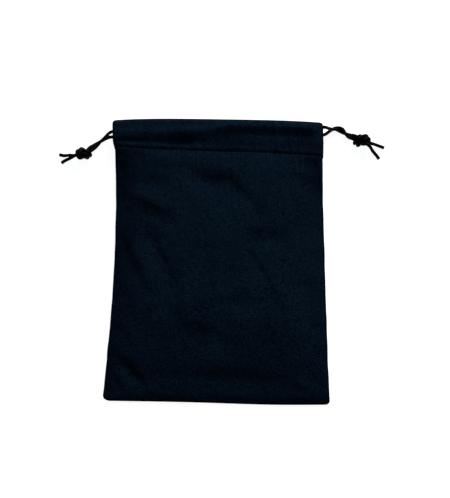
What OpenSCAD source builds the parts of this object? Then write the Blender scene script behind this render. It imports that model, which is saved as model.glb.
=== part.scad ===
// Drawstring dice bag, empty and lying on its back.
// X runs across the mouth, +Y points out of the mouth and +Z is up.
// The origin is under the middle of the pouch, on the surface that it lies on.

/* [Pouch] */
// Width across the mouth
mouth_w = 127; // [120:1:150]
// Width across the base
base_w = 131; // [120:1:150]
// Height from the base to the mouth
pouch_h = 176; // [150:1:220]
// Thickness of one layer of cloth
cloth_t = 0.6; // [0.4:0.1:0.8]
// How far the middle of the left side draws in
left_waist_in = 3.5; // [0:0.1:6]
// How far the middle of the right side draws in
right_waist_in = 0.9; // [0:0.1:6]
// How far the base sits to the right of the mouth
base_shift = 0.5; // [0:0.1:1]
// Radius of the left corner of the base
left_corner_r = 4; // [2:0.5:8]
// Radius of the right corner of the base
right_corner_r = 2; // [2:0.5:8]
// Clear height inside the middle of the pouch
belly_rise = 11.8; // [8:0.1:16]

/* [Casing] */
// Height of the drawcord casing round the mouth
casing_h = 20.5; // [16:0.5:26]
// Clear height of the tunnel that a drawcord runs in
tunnel_gap = 2.1; // [2:0.1:2.6]
// Clear height between the two casings
mouth_gap = 4.4; // [4.2:0.1:6]

/* [Seams] */
// Width of the sewn rim where the two panels meet
rim_w = 1.5; // [1:0.5:3]
// Width of the cloth turned in past a seam
allowance_w = 8; // [5:1:12]
// Distance from one stitch to the next
stitch_pitch = 3; // [2.5:0.1:4]
// Length of one stitch
stitch_len = 2.2; // [1.5:0.1:2.4]

/* [Drawcords] */
// Diameter of each drawcord
cord_d = 2; // [1.4:0.1:2]
// Height along Y at which the left drawcord crosses
left_cord_y = 79.8; // [78:0.1:80]
// Height along Y at which the right drawcord crosses
right_cord_y = 84; // [83.5:0.1:85]
// Lean of the right drawcord's loop
right_cord_lean = 13; // [0:1:15]
// Length of each knot
knot_len = 10.6; // [9:0.2:12]
// Diameter of each knot
knot_d = 7.4; // [6:0.2:8]

/* [Hidden] */

cloth_colour = [0.02, 0.05, 0.09];
thread_colour = [0.01, 0.02, 0.04];
cord_colour = [0.01, 0.02, 0.02];

LEFT = -1;
RIGHT = 1;

base_y = -pouch_h / 2;
mouth_y = pouch_h / 2;
seam_y = base_y + rim_w;
casing_y = mouth_y - casing_h;
casing_t = tunnel_gap + 2 * cloth_t;
mouth_t = 2 * casing_t + mouth_gap;
mid_z = mouth_t / 2;
end_r = mouth_t / 2;
casing_half_w = mouth_w / 2 - end_r;
exit_x = mouth_w / 2 + 0.5;

// The casing ends move, so they stand this far clear of the rest
body_gap = 0.3;

// The loop of a drawcord spans the two tunnels
run_half_gap = mid_z - cloth_t - tunnel_gap / 2;
turn_x = casing_half_w - 0.4;
hole_d = cord_d + 0.6;

// The dome starts to fall to the base at dome_y, and is squarer by the mouth than at the belly
dome_y = -30;
belly_power = 4;
mouth_power = 16;
base_power = 4;
mouth_rise = mouth_t - 2 * cloth_t;

// Number of steps across half the panel, up the rounded base and up the straight body
steps_across = 12;
steps_base = 9;
steps_body = 7;

// How far a cut goes past what it cuts
cut_over = 1;

stitch_w = 0.5;
stitch_t = 0.25;
allowance_t = 2 * cloth_t;
allowance_gap = 2;
allowance_inset = rim_w + allowance_gap;
allowance_low = seam_y + allowance_gap;
allowance_high = casing_y - allowance_gap / 2;
bottom_allowance_half_w = base_w / 2 - allowance_inset - allowance_w - allowance_gap;
stitch_inset = allowance_inset + 0.6;

cord_sides = 8;
knot_end_r = 2.4;
knot_rings = 12;
knot_power = 2.6;

// Each pair of strands as [x, y, z, half the distance between the strands, turn of the pair].
// The pair leaves the casing, falls to the surface, twists and goes into its knot.
left_pair = [
    [-64, 79.8, 5.5, 3.85, 90],
    [-66, 79.7, 5.2, 3.5, 90],
    [-68.2, 78.9, 3.5, 2.1, 90],
    [-70.2, 77.8, 2.2, 1.05, 90],
    [-72.2, 76.3, 2, 1.05, 65],
    [-74.2, 74.6, 1.7, 1.05, 35],
    [-76, 72.8, 1.2, 1.05, 0],
    [-77.4, 71.2, 1.6, 1.05, -15],
    [-78.8, 69.8, 2.6, 1.05, -20]
];
right_pair = [
    [64, 84, 5.5, 3.95, 77],
    [66, 84.4, 5.3, 3.6, 80],
    [68, 85.6, 3.8, 2.2, 88],
    [70, 86.8, 2.2, 1.05, 105],
    [72.4, 87.7, 1.8, 1.05, 140],
    [74.6, 87.6, 1.2, 1.05, 180],
    [76.3, 86.4, 1.8, 1.05, 225],
    [77.6, 84.9, 2.1, 1.05, 270],
    [79.2, 83.7, 1.8, 1.05, 315],
    [81.2, 82.6, 1.2, 1.05, 360],
    [83, 81.4, 1.6, 1.05, 380],
    [84.6, 80.4, 2.8, 1.05, 395]
];

// Each tail as [x, y, z], from inside its knot to its cut end
left_front_tail_route = [[-86, 66, 4], [-88.4, 66.3, 3], [-91.2, 66.8, 1.4], [-94, 66.9, 1], [-96.8, 67.6, 1]];
left_back_tail_route = [[-86, 65.6, 2], [-88.4, 65.6, 1.2], [-91.2, 64.8, 1], [-93.4, 63.6, 1], [-95.2, 62, 1]];
right_front_tail_route = [[91.8, 78.6, 3], [94.4, 78.2, 1.6], [97.2, 77.4, 1], [99.6, 76.4, 1], [102, 75.4, 1]];
right_back_tail_route = [[90.4, 75.8, 2.6], [92.6, 74.6, 1.2], [95, 72.8, 1], [97, 70.6, 1], [98.6, 68, 1]];

// Each knot as [x, y, heading]
left_knot_place = [-81.8, 67, 200];
right_knot_place = [87.8, 78.6, -14];

// ---- Outline and dome ----

function waist_in(side) = side == LEFT ? left_waist_in : right_waist_in;
function corner_r(side) = side == LEFT ? left_corner_r : right_corner_r;

// How far a rounded corner of the base pulls the side in at y
function corner_in(r, y) = y >= base_y + r ? 0 : r - sqrt(max(0, r * r - pow(base_y + r - y, 2)));

// Distance from the middle to the left or right side at y
function half_w(side, y) =
    let (
        up = (y - base_y) / pouch_h,
        base_half = base_w / 2 + side * base_shift
    )
    base_half + (mouth_w / 2 - base_half) * up - waist_in(side) * sin(180 * up) - corner_in(corner_r(side), y);

// The heights at which the outline and the dome are worked out, closer together near the base
rows = concat(
    [base_y],
    [for (i = [0 : steps_base]) dome_y + (seam_y - dome_y) * cos(90 * i / steps_base)],
    [for (i = [1 : steps_body]) dome_y + (casing_y - dome_y) * i / steps_body]
);

// The shares of the half width at which the dome is worked out, closer together near the sides
shares = [for (i = [-steps_across : steps_across]) sin(90 * i / steps_across)];

// A rise that is full in the middle, where u is 0, and nothing at the edge, where u is 1 or -1
function crown(u, power) = sqrt(max(0, 1 - pow(abs(u), power)));

function rise(y) = y < dome_y
    ? belly_rise * crown((dome_y - y) / (dome_y - seam_y), base_power)
    : belly_rise + (mouth_rise - belly_rise) * (y - dome_y) / (casing_y - dome_y);

function power_across(y) = y < dome_y
    ? belly_power
    : belly_power + (mouth_power - belly_power) * pow((y - dome_y) / (casing_y - dome_y), 3);

// One row of the front panel's lower surface: the rim, the dome and the rim again
function dome_row(y) = concat(
    [[-half_w(LEFT, y), y, cloth_t]],
    [for (u = shares) [
        u * (half_w(u < 0 ? LEFT : RIGHT, y) - rim_w),
        y,
        cloth_t + (y <= seam_y ? 0 : rise(y) * crown(u, power_across(y)))
    ]],
    [[half_w(RIGHT, y), y, cloth_t]]
);

// ---- Shared shapes ----

// A shell of one cloth thickness over a grid of points, closed all round
module cloth_shell(grid) {
    ny = len(grid);
    nx = len(grid[0]);
    lower = [for (row = grid) for (p = row) p];
    upper = [for (p = lower) p + [0, 0, cloth_t]];
    n = nx * ny;
    edge = concat(
        [for (i = [0 : nx - 1]) i],
        [for (j = [1 : ny - 1]) j * nx + nx - 1],
        [for (i = [nx - 2 : -1 : 0]) (ny - 1) * nx + i],
        [for (j = [ny - 2 : -1 : 1]) j * nx]
    );
    m = len(edge);
    polyhedron(
        points = concat(lower, upper),
        faces = concat(
            [for (j = [0 : ny - 2]) for (i = [0 : nx - 2]) [j * nx + i, j * nx + i + 1, (j + 1) * nx + i + 1]],
            [for (j = [0 : ny - 2]) for (i = [0 : nx - 2]) [j * nx + i, (j + 1) * nx + i + 1, (j + 1) * nx + i]],
            [for (j = [0 : ny - 2]) for (i = [0 : nx - 2])
                [n + j * nx + i, n + (j + 1) * nx + i + 1, n + j * nx + i + 1]],
            [for (j = [0 : ny - 2]) for (i = [0 : nx - 2])
                [n + j * nx + i, n + (j + 1) * nx + i, n + (j + 1) * nx + i + 1]],
            [for (k = [0 : m - 1]) [edge[k], n + edge[(k + 1) % m], edge[(k + 1) % m]]],
            [for (k = [0 : m - 1]) [edge[k], n + edge[k], n + edge[(k + 1) % m]]]
        )
    );
}

function unit(v) = v / norm(v);

// Direction of a route at its point i
function heading(route, i) = unit(route[min(i + 1, len(route) - 1)] - route[max(i - 1, 0)]);

// The ring of a tube round point p, square to direction d
function ring(p, d) =
    let (side = unit(cross(d, [0, 0, 1])), over = cross(side, d))
    [for (k = [0 : cord_sides - 1])
        let (a = 360 * (k + 0.5) / cord_sides)
        p + cord_d / 2 * (cos(a) * side + sin(a) * over)];

// A cord swept along a route
module cord_tube(route) {
    n = len(route);
    s = cord_sides;
    polyhedron(
        points = [for (i = [0 : n - 1]) for (p = ring(route[i], heading(route, i))) p],
        faces = concat(
            [[for (k = [0 : s - 1]) k]],
            [for (i = [0 : n - 2]) for (k = [0 : s - 1])
                [i * s + k, (i + 1) * s + k, (i + 1) * s + (k + 1) % s]],
            [for (i = [0 : n - 2]) for (k = [0 : s - 1])
                [i * s + k, (i + 1) * s + (k + 1) % s, i * s + (k + 1) % s]],
            [[for (k = [s - 1 : -1 : 0]) (n - 1) * s + k]]
        )
    );
}

// The route of one strand of a twisted pair: way is 1 for the front strand and -1 for the back one
function strand(pair, way) = [
    for (i = [0 : len(pair) - 1])
        let (
            flat = [for (p = pair) [p[0], p[1], 0]],
            ahead = heading(flat, i),
            left = [-ahead[1], ahead[0], 0],
            apart = cos(pair[i][4]) * left + sin(pair[i][4]) * [0, 0, 1]
        )
        [pair[i][0], pair[i][1], pair[i][2]] + way * pair[i][3] * apart
];

// The part of a drawcord inside the casing: two straight runs joined by a loop at the far side
module drawcord_run(side, y, lean) {
    half_gap = run_half_gap / cos(lean);
    translate([0, y, mid_z])
        rotate([-lean, 0, 0])
            mirror([side == LEFT ? 0 : 1, 0, 0]) {
                for (way = [-1, 1])
                    translate([-exit_x, 0, way * half_gap])
                        rotate([0, 90, 0])
                            cylinder(d = cord_d, h = exit_x + turn_x, $fn = 48);
                translate([turn_x, 0, 0])
                    rotate([90, 0, 0])
                        rotate([0, 0, -90])
                            rotate_extrude(angle = 180, $fn = 48)
                                translate([half_gap, 0])
                                    circle(d = cord_d, $fn = 48);
            }
}

module knot_body(place) {
    half = [for (i = [0 : knot_rings])
        let (t = -1 + 2 * i / knot_rings)
        [knot_end_r + (knot_d / 2 - knot_end_r) * pow(1 - pow(abs(t), knot_power), 1 / knot_power),
            t * knot_len / 2]];
    translate([place[0], place[1], knot_d / 2])
        rotate([0, 0, place[2]])
            rotate([0, 90, 0])
                rotate_extrude($fn = 48)
                    polygon(concat([[0, -knot_len / 2]], half, [[0, knot_len / 2]]));
}

// A tube of cloth, flat in section: its outer layer, its turned top and its inner layer
module casing(outer_z) {
    translate([-casing_half_w, casing_y, outer_z])
        difference() {
            cube([2 * casing_half_w, casing_h, casing_t]);
            translate([-cut_over, cloth_t, cloth_t])
                cube([2 * (casing_half_w + cut_over), casing_h - 2 * cloth_t, tunnel_gap]);
        }
}

// The rounded end of the mouth, with two holes that the drawcord of that side leaves through
module casing_end(side, cord_y) {
    mirror([side == LEFT ? 1 : 0, 0, 0])
        difference() {
            translate([casing_half_w, mouth_y, mid_z])
                rotate([90, 0, 0])
                    linear_extrude(casing_h - body_gap)
                        difference() {
                            circle(r = end_r, $fn = 96);
                            circle(r = end_r - cloth_t, $fn = 96);
                            translate([-2 * end_r + body_gap, -end_r - cut_over])
                                square([2 * end_r, 2 * (end_r + cut_over)]);
                        }
            for (way = [-1, 1])
                translate([casing_half_w, exit_y(side, cord_y, way), mid_z + way * run_half_gap])
                    rotate([0, 90, 0])
                        cylinder(d = hole_d, h = 2 * end_r, $fn = 48);
        }
}

// Where the front or back strand of a side crosses its casing end
function exit_y(side, cord_y, way) = cord_y + (side == LEFT ? 0 : way * run_half_gap * tan(right_cord_lean));

module stitch(length_x, length_y) {
    translate([-length_x / 2, -length_y / 2, 0])
        cube([length_x, length_y, stitch_t]);
}

// Stitches across a casing, on the surface at z
module casing_stitches(z) {
    count = floor((casing_half_w - stitch_pitch) / stitch_pitch);
    for (i = [-count : count])
        translate([i * stitch_pitch, casing_y + cloth_t + stitch_w, z])
            stitch(stitch_len, stitch_w);
}

// A strip of turned-in cloth along one side
module side_allowance(side) {
    ys = [for (i = [0 : steps_across]) allowance_low + (allowance_high - allowance_low) * i / steps_across];
    translate([0, 0, cloth_t])
        linear_extrude(allowance_t)
            polygon(concat(
                [for (y = ys) [side * (half_w(side, y) - allowance_inset), y]],
                [for (i = [steps_across : -1 : 0])
                    [side * (half_w(side, ys[i]) - allowance_inset - allowance_w), ys[i]]]
            ));
}

module side_stitches(side) {
    count = floor((allowance_high - seam_y - allowance_w) / stitch_pitch);
    for (i = [1 : count])
        let (y = seam_y + allowance_w + i * stitch_pitch - stitch_pitch / 2)
            translate([side * (half_w(side, y) - stitch_inset), y, cloth_t + allowance_t])
                stitch(stitch_w, stitch_len);
}

// ---- Sub-parts ----

module back_panel() {
    color(cloth_colour)
        linear_extrude(cloth_t)
            polygon(concat(
                [for (y = rows) [-half_w(LEFT, y), y]],
                [for (i = [len(rows) - 1 : -1 : 0]) [half_w(RIGHT, rows[i]), rows[i]]]
            ));
}

module front_panel() {
    color(cloth_colour)
        cloth_shell([for (y = rows) dome_row(y)]);
}

module back_casing() {
    color(cloth_colour) casing(0);
}

module front_casing() {
    color(cloth_colour) casing(mouth_t - casing_t);
}

module left_casing_end() {
    color(cloth_colour) casing_end(LEFT, left_cord_y);
}

module right_casing_end() {
    color(cloth_colour) casing_end(RIGHT, right_cord_y);
}

module left_seam_allowance() {
    color(cloth_colour) side_allowance(LEFT);
}

module right_seam_allowance() {
    color(cloth_colour) side_allowance(RIGHT);
}

module bottom_seam_allowance() {
    color(cloth_colour)
        translate([-bottom_allowance_half_w, allowance_low, cloth_t])
            cube([2 * bottom_allowance_half_w, allowance_w, allowance_t]);
}

module left_seam_stitches() {
    color(thread_colour) side_stitches(LEFT);
}

module right_seam_stitches() {
    color(thread_colour) side_stitches(RIGHT);
}

module bottom_seam_stitches() {
    count = floor((bottom_allowance_half_w - allowance_gap) / stitch_pitch);
    color(thread_colour)
        for (i = [-count : count])
            translate([i * stitch_pitch, base_y + stitch_inset, cloth_t + allowance_t])
                stitch(stitch_len, stitch_w);
}

module back_casing_stitches() {
    color(thread_colour) casing_stitches(casing_t);
}

module front_casing_stitches() {
    color(thread_colour) casing_stitches(mouth_t);
}

module left_drawcord_run() {
    color(cord_colour) drawcord_run(LEFT, left_cord_y, 0);
}

module left_front_strand() {
    color(cord_colour) cord_tube(strand(left_pair, 1));
}

module left_back_strand() {
    color(cord_colour) cord_tube(strand(left_pair, -1));
}

module left_knot() {
    color(cord_colour) knot_body(left_knot_place);
}

module left_front_tail() {
    color(cord_colour) cord_tube(left_front_tail_route);
}

module left_back_tail() {
    color(cord_colour) cord_tube(left_back_tail_route);
}

module right_drawcord_run() {
    color(cord_colour) drawcord_run(RIGHT, right_cord_y, right_cord_lean);
}

module right_front_strand() {
    color(cord_colour) cord_tube(strand(right_pair, 1));
}

module right_back_strand() {
    color(cord_colour) cord_tube(strand(right_pair, -1));
}

module right_knot() {
    color(cord_colour) knot_body(right_knot_place);
}

module right_front_tail() {
    color(cord_colour) cord_tube(right_front_tail_route);
}

module right_back_tail() {
    color(cord_colour) cord_tube(right_back_tail_route);
}

back_panel();
front_panel();
back_casing();
front_casing();
left_casing_end();
right_casing_end();
left_seam_allowance();
right_seam_allowance();
bottom_seam_allowance();
left_seam_stitches();
right_seam_stitches();
bottom_seam_stitches();
back_casing_stitches();
front_casing_stitches();
left_drawcord_run();
left_front_strand();
left_back_strand();
left_knot();
left_front_tail();
left_back_tail();
right_drawcord_run();
right_front_strand();
right_back_strand();
right_knot();
right_front_tail();
right_back_tail();
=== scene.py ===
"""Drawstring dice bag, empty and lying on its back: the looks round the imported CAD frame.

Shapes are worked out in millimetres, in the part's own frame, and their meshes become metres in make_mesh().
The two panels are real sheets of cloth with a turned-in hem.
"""

import math

import bpy
import numpy as np
from mathutils import Matrix, Vector, noise


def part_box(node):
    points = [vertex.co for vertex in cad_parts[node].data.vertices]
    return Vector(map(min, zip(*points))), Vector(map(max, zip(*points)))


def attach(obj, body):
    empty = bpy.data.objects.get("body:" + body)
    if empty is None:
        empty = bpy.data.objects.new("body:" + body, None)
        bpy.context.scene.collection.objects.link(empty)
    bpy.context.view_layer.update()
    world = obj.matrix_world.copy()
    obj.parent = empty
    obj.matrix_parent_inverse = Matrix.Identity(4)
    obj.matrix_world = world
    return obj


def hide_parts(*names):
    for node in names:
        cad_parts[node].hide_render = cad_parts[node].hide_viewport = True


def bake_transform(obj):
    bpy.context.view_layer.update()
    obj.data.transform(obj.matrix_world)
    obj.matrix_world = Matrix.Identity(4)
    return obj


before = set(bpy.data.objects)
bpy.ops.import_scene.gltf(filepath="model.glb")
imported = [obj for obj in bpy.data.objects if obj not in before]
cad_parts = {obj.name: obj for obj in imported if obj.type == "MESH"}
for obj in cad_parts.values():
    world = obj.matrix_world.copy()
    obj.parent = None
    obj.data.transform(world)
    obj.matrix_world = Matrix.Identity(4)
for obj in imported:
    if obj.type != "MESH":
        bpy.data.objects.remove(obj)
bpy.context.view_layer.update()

MM = 0.001
LEFT, RIGHT = -1, 1
SIDE_NAMES = {LEFT: "left", RIGHT: "right"}
UP = np.array([0.0, 0.0, 1.0])


def node_box(name):
    """A CAD node's lowest and highest corners, in millimetres."""
    low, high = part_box(name)
    return np.array(low) / MM, np.array(high) / MM


# ---- Sizes, from the frame ----

panel_low, panel_high = node_box("back_panel")
end_low, end_high = node_box("left_casing_end")
run_low, run_high = node_box("left_drawcord_run")

BASE_Y = panel_low[1]
STITCH_Y = panel_high[1]
MOUTH_Y = node_box("front_casing")[1][1]
MOUTH_HALF = -end_low[0]
BASE_HALF = (panel_high[0] - panel_low[0]) / 2
MID_Z = (end_low[2] + end_high[2]) / 2
CORD_D = run_high[1] - run_low[1]
CORD_R = CORD_D / 2
RUN_R = (run_high[2] - run_low[2] - CORD_D) / 2  # from the mouth's middle height to a cord in its tunnel
LEFT_CORD_Y = (run_low[1] + run_high[1]) / 2
right_low, right_high = node_box("right_drawcord_run")
RIGHT_CORD_Y = (right_low[1] + right_high[1]) / 2
RIGHT_LEAN = math.atan2(right_high[1] - right_low[1] - CORD_D, 2 * RUN_R)

CLOTH_T = 0.55
# Half the casing's thickness, where a cord runs in it and where its two layers are sewn together
TUNNEL_HALF = end_high[2] - MID_Z - RUN_R + 0.45
HEM_HALF = 0.62
FOLD_R = 0.85  # radius of the fold at the mouth's edge
EDGE_R = 1.6  # radius of the pouch's side edges
BASE_ROUND = 4.8  # how far up from the base's seam the pouch rounds over
BELLY_RISE = 8.8  # how much higher the middle of the front stands than the side edges
HEM_TAIL = 3.0  # how far the hem's raw edge goes on past its stitching
STITCH_PITCH = 3.0


# ---- Small helpers ----


def smooth(t):
    t = np.clip(t, 0, 1)
    return t * t * (3 - 2 * t)


def ease(low, high, value):
    """0 below low, 1 above high, and smooth between."""
    return smooth((value - low) / (high - low))


def bell(away, half):
    """1 where away is 0, falling smoothly to about a third at half."""
    return np.exp(-((away / half) ** 2))


def unit(v):
    return v / np.maximum(np.linalg.norm(v, axis=-1, keepdims=True), 1e-12)


def spline(points, per_step):
    """A smooth curve through points, by Catmull-Rom."""
    p = np.array(points, float)
    p = np.vstack([2 * p[0] - p[1], p, 2 * p[-1] - p[-2]])
    t = (np.arange(per_step) / per_step)[:, None]
    parts = []
    for a, b, c, d in zip(p, p[1:], p[2:], p[3:]):
        parts.append(
            0.5 * (2 * b + (c - a) * t + (2 * a - 5 * b + 4 * c - d) * t**2 + (3 * b - a - 3 * c + d) * t**3)
        )
    return np.vstack([*parts, p[-2:-1]])


def length_of(line):
    return float(np.linalg.norm(np.diff(line, axis=0), axis=1).sum())


def even(line, step):
    """The same line with its points about step apart."""
    along = np.concatenate([[0], np.cumsum(np.linalg.norm(np.diff(line, axis=0), axis=1))])
    wanted = np.linspace(0, along[-1], max(2, round(along[-1] / step) + 1))
    return np.stack([np.interp(wanted, along, line[:, k]) for k in range(3)], axis=-1)


def wobble(x, y, size, seed):
    """Smooth noise between about -1 and 1 over points x, y, with features of the given size."""
    flat = zip(np.ravel(x) / size, np.ravel(y) / size)
    values = [noise.noise(Vector((a, b, seed))) for a, b in flat]
    return np.reshape(values, np.shape(x)) * 1.6


# ---- Camera ----


def add_camera():
    """Above the bag's base, looking down at it and a little towards its mouth."""
    elevation, roll = math.radians(68), math.radians(0.84)
    distance, target = 915.5, np.array([5.3, 7.4, 0])
    ahead = np.array([0, math.cos(elevation), -math.sin(elevation)])
    level, over = np.array([1.0, 0, 0]), np.array([0, math.sin(elevation), math.cos(elevation)])
    right = math.cos(roll) * level + math.sin(roll) * over
    up = math.cos(roll) * over - math.sin(roll) * level
    data = bpy.data.cameras.new("camera")
    data.lens = 110.75
    data.sensor_width = 36
    camera = bpy.data.objects.new("camera", data)
    turn = Matrix((right, up, -ahead)).transposed().to_4x4()
    camera.matrix_world = Matrix.Translation(Vector((target - distance * ahead) * MM)) @ turn
    bpy.context.scene.collection.objects.link(camera)
    bpy.context.scene.camera = camera


add_camera()


# ---- Materials ----


class Nodes:
    """A new material's node tree, with short ways to add nodes to it."""

    def __init__(self, name):
        self.material = bpy.data.materials.new(name)
        self.material.use_nodes = True
        self.tree = self.material.node_tree
        self.shader = self.tree.nodes["Principled BSDF"]

    def add(self, kind, values=(), **links):
        node = self.tree.nodes.new(kind)
        for socket, value in dict(values).items():
            node.inputs[socket].default_value = value
        for socket, source in links.items():
            self.tree.links.new(source, node.inputs[socket.replace("_", " ")])
        return node

    def link(self, source, socket):
        self.tree.links.new(source, self.shader.inputs[socket])

    def noise(self, coords, scale, detail=3.0, roughness=0.6):
        values = {"Scale": scale, "Detail": detail, "Roughness": roughness}
        return self.add("ShaderNodeTexNoise", values, Vector=coords).outputs["Fac"]

    def spread(self, factor, low, high, from_low=0.3, from_high=0.7):
        """factor mapped to a number between low and high."""
        values = {"From Min": from_low, "From Max": from_high, "To Min": low, "To Max": high}
        return self.add("ShaderNodeMapRange", values, Value=factor).outputs["Result"]

    def math(self, operation, first, second):
        node = self.tree.nodes.new("ShaderNodeMath")
        node.operation = operation
        for socket, value in zip(node.inputs, (first, second)):
            if isinstance(value, (int, float)):
                socket.default_value = value
            else:
                self.tree.links.new(value, socket)
        return node.outputs["Value"]

    def between(self, factor, dark, light):
        """A colour between dark and light by factor."""
        node = self.tree.nodes.new("ShaderNodeMix")
        node.data_type = "RGBA"
        colour_a, colour_b = [s for s in node.inputs if s.type == "RGBA"]
        colour_a.default_value, colour_b.default_value = (*dark, 1), (*light, 1)
        self.tree.links.new(factor, node.inputs["Factor"])
        return next(s for s in node.outputs if s.type == "RGBA")

    def bump(self, height, strength, distance):
        values = {"Strength": strength, "Distance": distance}
        self.link(self.add("ShaderNodeBump", values, Height=height).outputs["Normal"], "Normal")

    def constants(self, **values):
        """Fixed values straight on the shader's sockets."""
        for socket, value in values.items():
            self.shader.inputs[socket.replace("_", " ")].default_value = value


def cloth_material():
    """Brushed, very dark navy cloth: a short mottled pile over a fine weave, with painted shade darkening it
    towards the side seams and the base.
    """
    n = Nodes("navy_brushed_cloth")
    place = n.add("ShaderNodeTexCoord").outputs["Object"]
    nap_grain_and_edge_shade = n.noise(place, 1300, 3, 0.8)
    blotches = n.noise(place, 55, 3, 0.55)
    weave = n.noise(place, 3400, 2, 0.5)
    mottle = n.math("ADD", n.math("MULTIPLY", nap_grain_and_edge_shade, 0.93), n.math("MULTIPLY", blotches, 0.07))
    # Painted shade: a per-point share from the mesh darkens the colour towards the side seams and the base
    turned = n.add("ShaderNodeAttribute")
    turned.attribute_name = "painted_edge_shade"
    unshaded_share = n.math("SUBTRACT", 1.0, turned.outputs["Fac"])
    shade = n.math("MULTIPLY", n.spread(mottle, 0, 1, 0.43, 0.575), unshaded_share)
    dark, light = (0.0, 0.0005, 0.0034), (0.0030, 0.0086, 0.0156)
    n.link(n.between(shade, dark, light), "Base Color")
    n.link(n.spread(nap_grain_and_edge_shade, 0.82, 0.98), "Roughness")
    n.bump(n.math("ADD", nap_grain_and_edge_shade, n.math("MULTIPLY", weave, 0.5)), 0.35, 0.00025)
    sheen = {"Sheen_Weight": 0.016, "Sheen_Roughness": 0.5, "Sheen_Tint": (0.3, 0.6, 0.9, 1)}
    n.constants(Specular_IOR_Level=0.0, **sheen)
    return n.material


def thread_material():
    """Sewing thread: fine twisted plies."""
    n = Nodes("navy_thread")
    place = n.add("ShaderNodeTexCoord").outputs["Object"]
    wave = {"Scale": 900, "Distortion": 1.5, "Detail": 1}
    plies = n.add("ShaderNodeTexWave", wave, Vector=place).outputs["Fac"]
    n.link(n.between(plies, (0.0, 0.0001, 0.0004), (0.0001, 0.0006, 0.0015)), "Base Color")
    n.link(n.spread(plies, 0.5, 0.7), "Roughness")
    n.bump(plies, 0.4, 0.0001)
    n.constants(Specular_IOR_Level=0.03)
    return n.material


def cord_material():
    """Soft near-black braid. Its first texture coordinate runs along the cord and its second round it."""
    n = Nodes("black_braided_cord")
    uv = n.add("ShaderNodeUVMap")
    uv.uv_map = "cord"
    parts = n.add("ShaderNodeSeparateXYZ", Vector=uv.outputs["UV"])
    along, round_it = parts.outputs["X"], parts.outputs["Y"]
    strands = 6
    ways = []
    for way in (1, -1):
        turn = n.math("ADD", along, n.math("MULTIPLY", round_it, way * strands))
        wave = n.math("SINE", n.math("MULTIPLY", turn, 2 * math.pi), 0)
        ways.append(n.math("ABSOLUTE", wave, 0))
    braid = n.math("MAXIMUM", *ways)
    place = n.add("ShaderNodeTexCoord").outputs["Object"]
    fibre = n.noise(place, 4200, 3, 0.6)
    relief = n.math("ADD", n.math("MULTIPLY", braid, 0.8), n.math("MULTIPLY", fibre, 0.5))
    dark, light = (0.0001, 0.0002, 0.0003), (0.0005, 0.0009, 0.0010)
    n.link(n.between(n.spread(relief, 0, 1, 0.3, 1.2), dark, light), "Base Color")
    n.link(n.spread(fibre, 0.42, 0.6), "Roughness")
    n.bump(relief, 0.55, 0.00018)
    sheen = {"Sheen_Weight": 0.004, "Sheen_Roughness": 0.4, "Sheen_Tint": (0.7, 0.9, 0.9, 1)}
    n.constants(Specular_IOR_Level=0.018, **sheen)
    return n.material


def floor_material():
    """Plain white studio paper, with a little light of its own so that it stays white."""
    n = Nodes("white_paper")
    place = n.add("ShaderNodeTexCoord").outputs["Object"]
    grain = n.noise(place, 900, 2, 0.5)
    n.link(n.between(grain, (0.34, 0.34, 0.34), (0.36, 0.36, 0.36)), "Base Color")
    n.constants(Roughness=0.9, Specular_IOR_Level=0.1, Emission_Color=(1, 1, 1, 1), Emission_Strength=0.92)
    return n.material


CLOTH, THREAD, CORD = cloth_material(), thread_material(), cord_material()


# ---- Meshes ----


def make_mesh(name, points, faces, material, normals=None, uv=None, painted_edge_shade=None):
    """A mesh object from points in millimetres.

    normals and uv are per face corner, in the faces' order, and painted_edge_shade, the painted shade
    towards the cloth's edges and base, is per point.
    """
    mesh = bpy.data.meshes.new(name)
    mesh.from_pydata((np.asarray(points) * MM).tolist(), [], [tuple(f) for f in faces])
    mesh.update()
    mesh.polygons.foreach_set("use_smooth", np.ones(len(mesh.polygons), bool))
    if normals is not None:
        mesh.normals_split_custom_set(np.asarray(normals).tolist())
    if uv is not None:
        layer = mesh.uv_layers.new(name="cord")
        layer.data.foreach_set("uv", np.asarray(uv, np.float32).ravel())
    # Painted shade per point, which darkens the cloth towards its side seams and base
    if painted_edge_shade is not None:
        layer = mesh.attributes.new("painted_edge_shade", "FLOAT", "POINT")
        layer.data.foreach_set("value", np.asarray(painted_edge_shade, np.float32))
    mesh.materials.append(material)
    made = bpy.data.objects.new(name, mesh)
    bpy.context.scene.collection.objects.link(made)
    return made


def surface_normals(grid):
    """Unit normals of a grid of points, by the slopes along its rows and columns."""
    return unit(np.cross(np.gradient(grid, axis=1), np.gradient(grid, axis=0)))


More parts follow.
